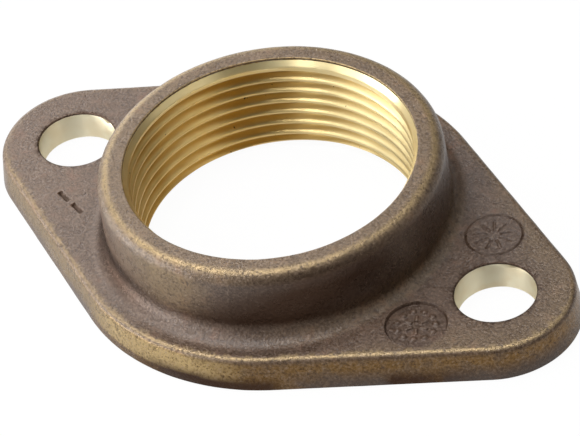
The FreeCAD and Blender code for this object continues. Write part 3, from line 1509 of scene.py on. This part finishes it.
        # Real edge wear, weighted towards the front edges as a painted highlight
        handled = self.facing_level + self.facing_gain * (ways @ self.edge_facing)
        bronze = 1.0 - ramp(heights, edge_start, edge_start + self.bronze_end * self.top_edge)
        # Painted highlight on the side's front-left
        side_highlight = self.side_highlight_share * ramp(ways @ self.side_highlight_facing, *self.side_highlight_lean)
        # The side is darker at its foot in these places
        darkened = spread_at(self.foot_darkening_spread, -outline[:, 0] * np.sign(outline[:, 1]))
        edge_wear_and_highlight = np.outer(worn, np.clip(handled, self.facing_least, 1.0))
        painted_side_highlight = np.outer(bronze * (heights > self.side_highlight_from), side_highlight)
        count = len(outline)
        skin.add(band(rings), Finish.CAST, {
            Mask.RELIEF: np.repeat(np.arange(len(rings)) >= self.flat_rows, count),
            Mask.WEAR_AND_HIGHLIGHT: np.maximum(edge_wear_and_highlight, painted_side_highlight).ravel(),
            Mask.SIDE: np.repeat(bronze, count),
            Mask.SHADE_AND_DARKENING: np.outer(ramp(heights, *self.foot_rise), darkened).ravel(),
        })

    def build_top(self, skin: Skin, edge: np.ndarray, holes: Sequence[np.ndarray]) -> None:
        """Add the upper face to the skin.

        Args:
            skin: The casting's skin.
            edge: The face's outer loop.
            holes: The loops left open in it.
        """
        points, faces = flat_face(edge, holes, self.spacing)
        handled = ramp(points[:, 0], *self.ear_rub)
        rub_width = self.rub_width + self.rub_growth * handled
        rub = (self.rub_least + self.rub_gain * handled) * hump(nearest(points, edge), 0.0, rub_width)
        hole_apart = np.min([nearest(points, hole) for hole in holes], axis=0)
        # Painted shade band on the front shelf
        ring = hump(plan_radius(points), *self.shelf_shade_place)
        skin.add((points, faces), Finish.CAST, {
            Mask.RELIEF: ramp(hole_apart, 0.0, self.relief_room),
            Mask.WEAR_AND_HIGHLIGHT: rub,
            Mask.SHADE_AND_DARKENING: spread_at(self.shelf_shade, plan_angle(points)) * ring,
        })

    def build(self, skin: Skin, top_holes: Sequence[np.ndarray], gasket_holes: Sequence[np.ndarray]) -> None:
        """Add the side and both faces to the skin.

        Args:
            skin: The casting's skin.
            top_holes: The loops left open in the upper face.
            gasket_holes: The loops left open in the gasket face.
        """
        outline, ways = self.outline()
        rings = [
            np.column_stack([outline + ways * out, np.full(len(outline), z)]) for out, z in self.section()
        ]
        self.build_side(skin, outline, ways, rings)
        self.build_top(skin, rings[-1], top_holes)
        skin.add(flat_face(rings[0], gasket_holes), Finish.FACED)


@dataclass
class FlangeCasting:
    """The whole casting, welded from its patches and given the unevenness of a sand mould."""

    name: str = "flange_casting"
    reach: float = 40.085 * MM
    unevenness: float = 0.10 * MM
    uneven_scale: float = 160.0
    pocking: float = 0.04 * MM
    pock_scale: float = 620.0
    seed: float = 3.0
    sharp_deg: float = 34.0
    bore: ThreadedBore = field(default_factory=ThreadedBore)
    plate: OvalPlate = field(default_factory=OvalPlate)

    def marks(self) -> list[RoundMark]:
        """Set out the plain foundry marks beside the ears.

        Returns:
            The marks.
        """
        return [
            RoundMark(
                "pip_dish", (32.84 * MM, -11.31 * MM), 4.9 * MM, sink=0.45 * MM,
                pips=11, pip_ring=3.0 * MM, pip_radius=0.62 * MM, pip_height=0.34 * MM,
                ticks=6, tick_from=0.9 * MM, tick_to=1.9 * MM, tick_depth=-0.3 * MM, tick_width=0.5 * MM,
            ),
            RoundMark(
                "tick_ring", (33.3 * MM, 10.72 * MM), 4.7 * MM, groove=0.22 * MM,
                ticks=9, tick_from=1.2 * MM, tick_to=3.1 * MM, tick_depth=0.2 * MM, tick_width=0.4 * MM,
            ),
            # Two strokes, fully dark with painted shade in their grooves
            RoundMark(
                "stroke_pair", (-32.0 * MM, -12.7 * MM), 4.0 * MM, turn_deg=-20.0, ticks=2,
                tick_from=0.7 * MM, tick_to=3.2 * MM, tick_depth=0.34 * MM, tick_width=0.7 * MM, sunk_shade=1.0,
            ),
        ]

    def relief(self, mesh: bpy.types.Mesh, materials: Sequence[bpy.types.Material]) -> bpy.types.Mesh:
        """Give the cast faces the unevenness of the mould, and all faces their finish.

        Args:
            mesh: The welded skin.
            materials: The finishes, in slot order.

        Returns:
            The finished mesh.
        """
        rule = MeshRule("sand_relief")
        uneven = rule.size("Unevenness", self.unevenness)
        uneven_scale = rule.size("Unevenness scale", self.uneven_scale)
        pock = rule.size("Pocking", self.pocking)
        pock_scale = rule.size("Pocking scale", self.pock_scale)
        seed = rule.size("Seed", self.seed)
        settings = {"noise_dimensions": "4D"}
        broad, fine = (
            rule.node("ShaderNodeTexNoise", settings, {"W": seed, "Detail": 1.0, "Scale": scale})
            for scale in (uneven_scale, pock_scale)
        )
        mask = rule.node(
            "GeometryNodeInputNamedAttribute", {"data_type": "FLOAT"}, {"Name": Mask.RELIEF.value}
        )
        lift = (broad.swing(uneven) + fine.swing(pock)) * mask
        offset = rule.node(
            "ShaderNodeVectorMath", {"operation": "SCALE"},
            {"Vector": rule.node("GeometryNodeInputNormal"), "Scale": lift},
        )
        moved = rule.node(
            "GeometryNodeSetPosition", sockets={"Geometry": rule.entry.output("Mesh"), "Offset": offset}
        )
        rule.close(moved, materials)
        for material in materials:
            mesh.materials.append(material)
        return rule.run(mesh)

    def build(self) -> bpy.types.Object:
        """Build and dress the casting.

        Returns:
            The finished piece.
        """
        materials = [kind().material() for kind in (CastSkin, CutBrass, DrilledBrass, FacedBrass)]
        boss = Boss(self.bore)
        holes = [BoltHole(self.reach), BoltHole(-self.reach)]
        marks = self.marks()
        skin = Skin()
        self.bore.build(skin, materials[Finish.CUT])
        boss.build(skin)
        for hole in holes:
            hole.build(skin)
        for mark in marks:
            mark.build(skin, materials[Finish.CAST])
        top_holes = [boss.root_ring(), *(hole.top_ring() for hole in holes), *(mark.ring() for mark in marks)]
        gasket_holes = [self.bore.gasket_ring(), *(hole.gasket_ring() for hole in holes)]
        self.plate.build(skin, top_holes, gasket_holes)
        mesh = self.relief(skin.mesh(self.name), materials)
        mesh.name = self.name
        mesh.polygons.foreach_set("use_smooth", [True] * len(mesh.polygons))
        mesh.set_sharp_from_angle(angle=math.radians(self.sharp_deg))
        piece = put_in_scene(self.name, mesh)
        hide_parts("flange_body")
        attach(piece, "root")
        return piece


def toward(plan_deg: float, elevation_deg: float) -> Vector:
    """Work out a direction from its angles.

    Args:
        plan_deg: Its angle in plan from +X.
        elevation_deg: Its angle above the level.

    Returns:
        The direction, of length 1.
    """
    plan, rise = math.radians(plan_deg), math.radians(elevation_deg)
    return Vector((math.cos(plan) * math.cos(rise), math.sin(plan) * math.cos(rise), math.sin(rise)))


@dataclass
class SoftBox:
    """A plain rectangular studio lamp that faces the object."""

    name: str
    plan_deg: float
    elevation_deg: float
    wide_deg: float
    tall_deg: float
    radiance: float
    distance: float = 0.6

    def span(self, angle_deg: float) -> float:
        """The length that fills an angle at the lamp's distance."""
        return 2 * self.distance * math.tan(math.radians(angle_deg / 2))

    def build(self, target: Vector) -> None:
        """Hang the lamp.

        Args:
            target: The point that it faces.
        """
        lamp = bpy.data.lights.new(self.name, "AREA")
        lamp.shape = "RECTANGLE"
        lamp.size, lamp.size_y = self.span(self.wide_deg), self.span(self.tall_deg)
        lamp.energy = self.radiance * math.pi * lamp.size * lamp.size_y
        holder = put_in_scene(self.name, lamp)
        away = toward(self.plan_deg, self.elevation_deg)
        holder.location = target + away * self.distance
        holder.rotation_euler = away.to_track_quat("Z", "Y").to_euler()
        holder.visible_camera = False


@dataclass
class Studio:
    """The pale floor, the soft light and the camera."""

    floor_reach: float = 12.0
    floor_drop: float = 0.1 * MM
    floor_white: float = 0.96
    floor_sheen: Pair = (0.70, 1.0)
    # Painted light: in reflections the floor is brighter towards this side, from this far out
    lit_side: Triple = (-0.73, -0.68, 0.0)
    lit_from: Ramp = (18 * MM, 40 * MM)
    floor_paper: float = 0.45
    world_level: float = 0.01
    target: Vector = field(default_factory=lambda: Vector((0.0, 0.0, 8 * MM)))
    azimuth_deg: float = 40.8458
    elevation_deg: float = 42.7469
    roll_deg: float = -10.1804
    distance: float = 582.7277 * MM
    focal_pixels: float = 3669.0
    axis_pixel: Pair = (283.9, 238.63)
    sensor: float = 36.0

    def lamps(self) -> list[SoftBox]:
        """Set out the soft boxes round the object.

        Returns:
            The lamps.
        """
        return [
            SoftBox("key_box", -148.0, 9.0, 30.0, 16.0, 11.5),
            SoftBox("low_front_box", -122.0, 10.0, 24.0, 18.0, 3.5),
            SoftBox("front_box", -44.0, 30.0, 64.0, 14.0, 0.5),
            SoftBox("front_left_box", -118.0, 36.0, 30.0, 24.0, 1.0),
            SoftBox("upper_left_box", -156.0, 50.0, 44.0, 40.0, 1.75),
            SoftBox("strip_box", -89.0, 38.0, 13.0, 26.0, 2.4),
            SoftBox("low_left_box", 178.0, 12.0, 30.0, 22.0, 1.25),
            SoftBox("low_back_box", 146.0, 12.0, 24.0, 22.0, 3.4),
            SoftBox("back_left_box", 156.0, 36.0, 44.0, 26.0, 1.0),
            SoftBox("back_box", 108.0, 36.0, 40.0, 24.0, 0.18),
            SoftBox("upper_back_box", 120.0, 71.0, 26.0, 14.0, 3.8),
            SoftBox("right_box", 12.0, 36.0, 46.0, 24.0, 0.92),
            SoftBox("far_right_box", 62.0, 36.0, 54.0, 24.0, 0.3),
            SoftBox("upper_right_box", 20.0, 61.0, 20.0, 24.0, 1.05),
            SoftBox("upper_far_box", 88.0, 58.0, 26.0, 22.0, 0.9),
            SoftBox("top_box", -143.0, 79.0, 18.0, 18.0, 14.0),
        ]

    def floor_material(self) -> bpy.types.Material:
        """Make the floor's paper, which looks white and keeps a soft shadow, and which reflections see
        brighter towards the front-left as a painted pool of light.

        Returns:
            The material.
        """
        material = bpy.data.materials.new("pale_floor")
        material.use_nodes = True
        sheet = NodeSheet(material.node_tree)
        ray = sheet.node("ShaderNodeLightPath", out="Is Camera Ray")
        mirrored = ray.output("Is Glossy Ray").at_least(ray.output("Is Transmission Ray"))
        place = sheet.node("ShaderNodeTexCoord", out="Object")
        # Painted pool of light, seen only by reflected rays
        painted_pool = sheet.along(place, self.lit_side).rise(*self.lit_from)
        dim, bright = self.floor_sheen
        white_share = (ray * self.floor_white).at_least(mirrored * (dim + painted_pool * (bright - dim)))
        shade = sheet.mix(ray, (*[self.floor_paper] * 3, 1.0), WHITE)
        paper = sheet.node("ShaderNodeBsdfDiffuse", sockets={"Color": shade})
        white = sheet.node("ShaderNodeEmission", sockets={"Color": WHITE, "Strength": 1.0})
        shader = sheet.node("ShaderNodeMixShader", sockets={0: white_share, 1: paper, 2: white})
        sheet.node("ShaderNodeOutputMaterial", sockets={"Surface": shader})
        return material

    def floor(self) -> None:
        """Lay the floor just under the gasket face."""
        mesh = bpy.data.meshes.new("floor")
        reach, z = self.floor_reach, -self.floor_drop
        corners = [(-reach, -reach, z), (reach, -reach, z), (reach, reach, z), (-reach, reach, z)]
        mesh.from_pydata(corners, [], [(0, 1, 2, 3)])
        mesh.materials.append(self.floor_material())
        floor = put_in_scene("floor", mesh)

    def world(self) -> None:
        """Fill the room with even light."""
        world = bpy.data.worlds.new("studio")
        bpy.context.scene.world = world
        world.use_nodes = True
        sheet = NodeSheet(world.node_tree)
        light = sheet.node("ShaderNodeBackground", sockets={"Color": WHITE, "Strength": self.world_level})
        sheet.node("ShaderNodeOutputWorld", sockets={"Surface": light})

    def camera(self) -> None:
        """Set the camera at the photograph's viewing angle."""
        back = toward(self.azimuth_deg - 90.0, self.elevation_deg)
        right = toward(self.azimuth_deg, 0.0)
        level = Matrix((right, back.cross(right), back)).transposed()
        turn = level @ Matrix.Rotation(math.radians(self.roll_deg), 3, "Z")
        lens = bpy.data.cameras.new("camera")
        lens.sensor_width = self.sensor
        lens.lens = self.focal_pixels / IMAGE_WIDTH * self.sensor
        lens.shift_x = (IMAGE_WIDTH / 2 - self.axis_pixel[0]) / IMAGE_WIDTH
        lens.shift_y = (self.axis_pixel[1] - IMAGE_HEIGHT / 2) / IMAGE_WIDTH
        camera = put_in_scene("camera", lens)
        camera.matrix_world = Matrix.Translation(back * self.distance) @ turn.to_4x4()
        bpy.context.scene.camera = camera

    def build(self) -> None:
        """Make the floor, the light and the camera."""
        self.floor()
        self.world()
        for lamp in self.lamps():
            lamp.build(self.target)
        self.camera()
        bpy.context.scene.view_settings.view_transform = "Standard"


def main() -> None:
    """Build the casting and the studio, and report each piece."""
    logging.basicConfig(level=logging.INFO, format="%(message)s")
    piece = FlangeCasting().build()
    LOG.info("%s: %d points, size %s", piece.name, len(piece.data.vertices), tuple(piece.dimensions))
    Studio().build()
    LOG.info("studio: floor, lamps and camera")


if __name__ == "__main__":
    main()
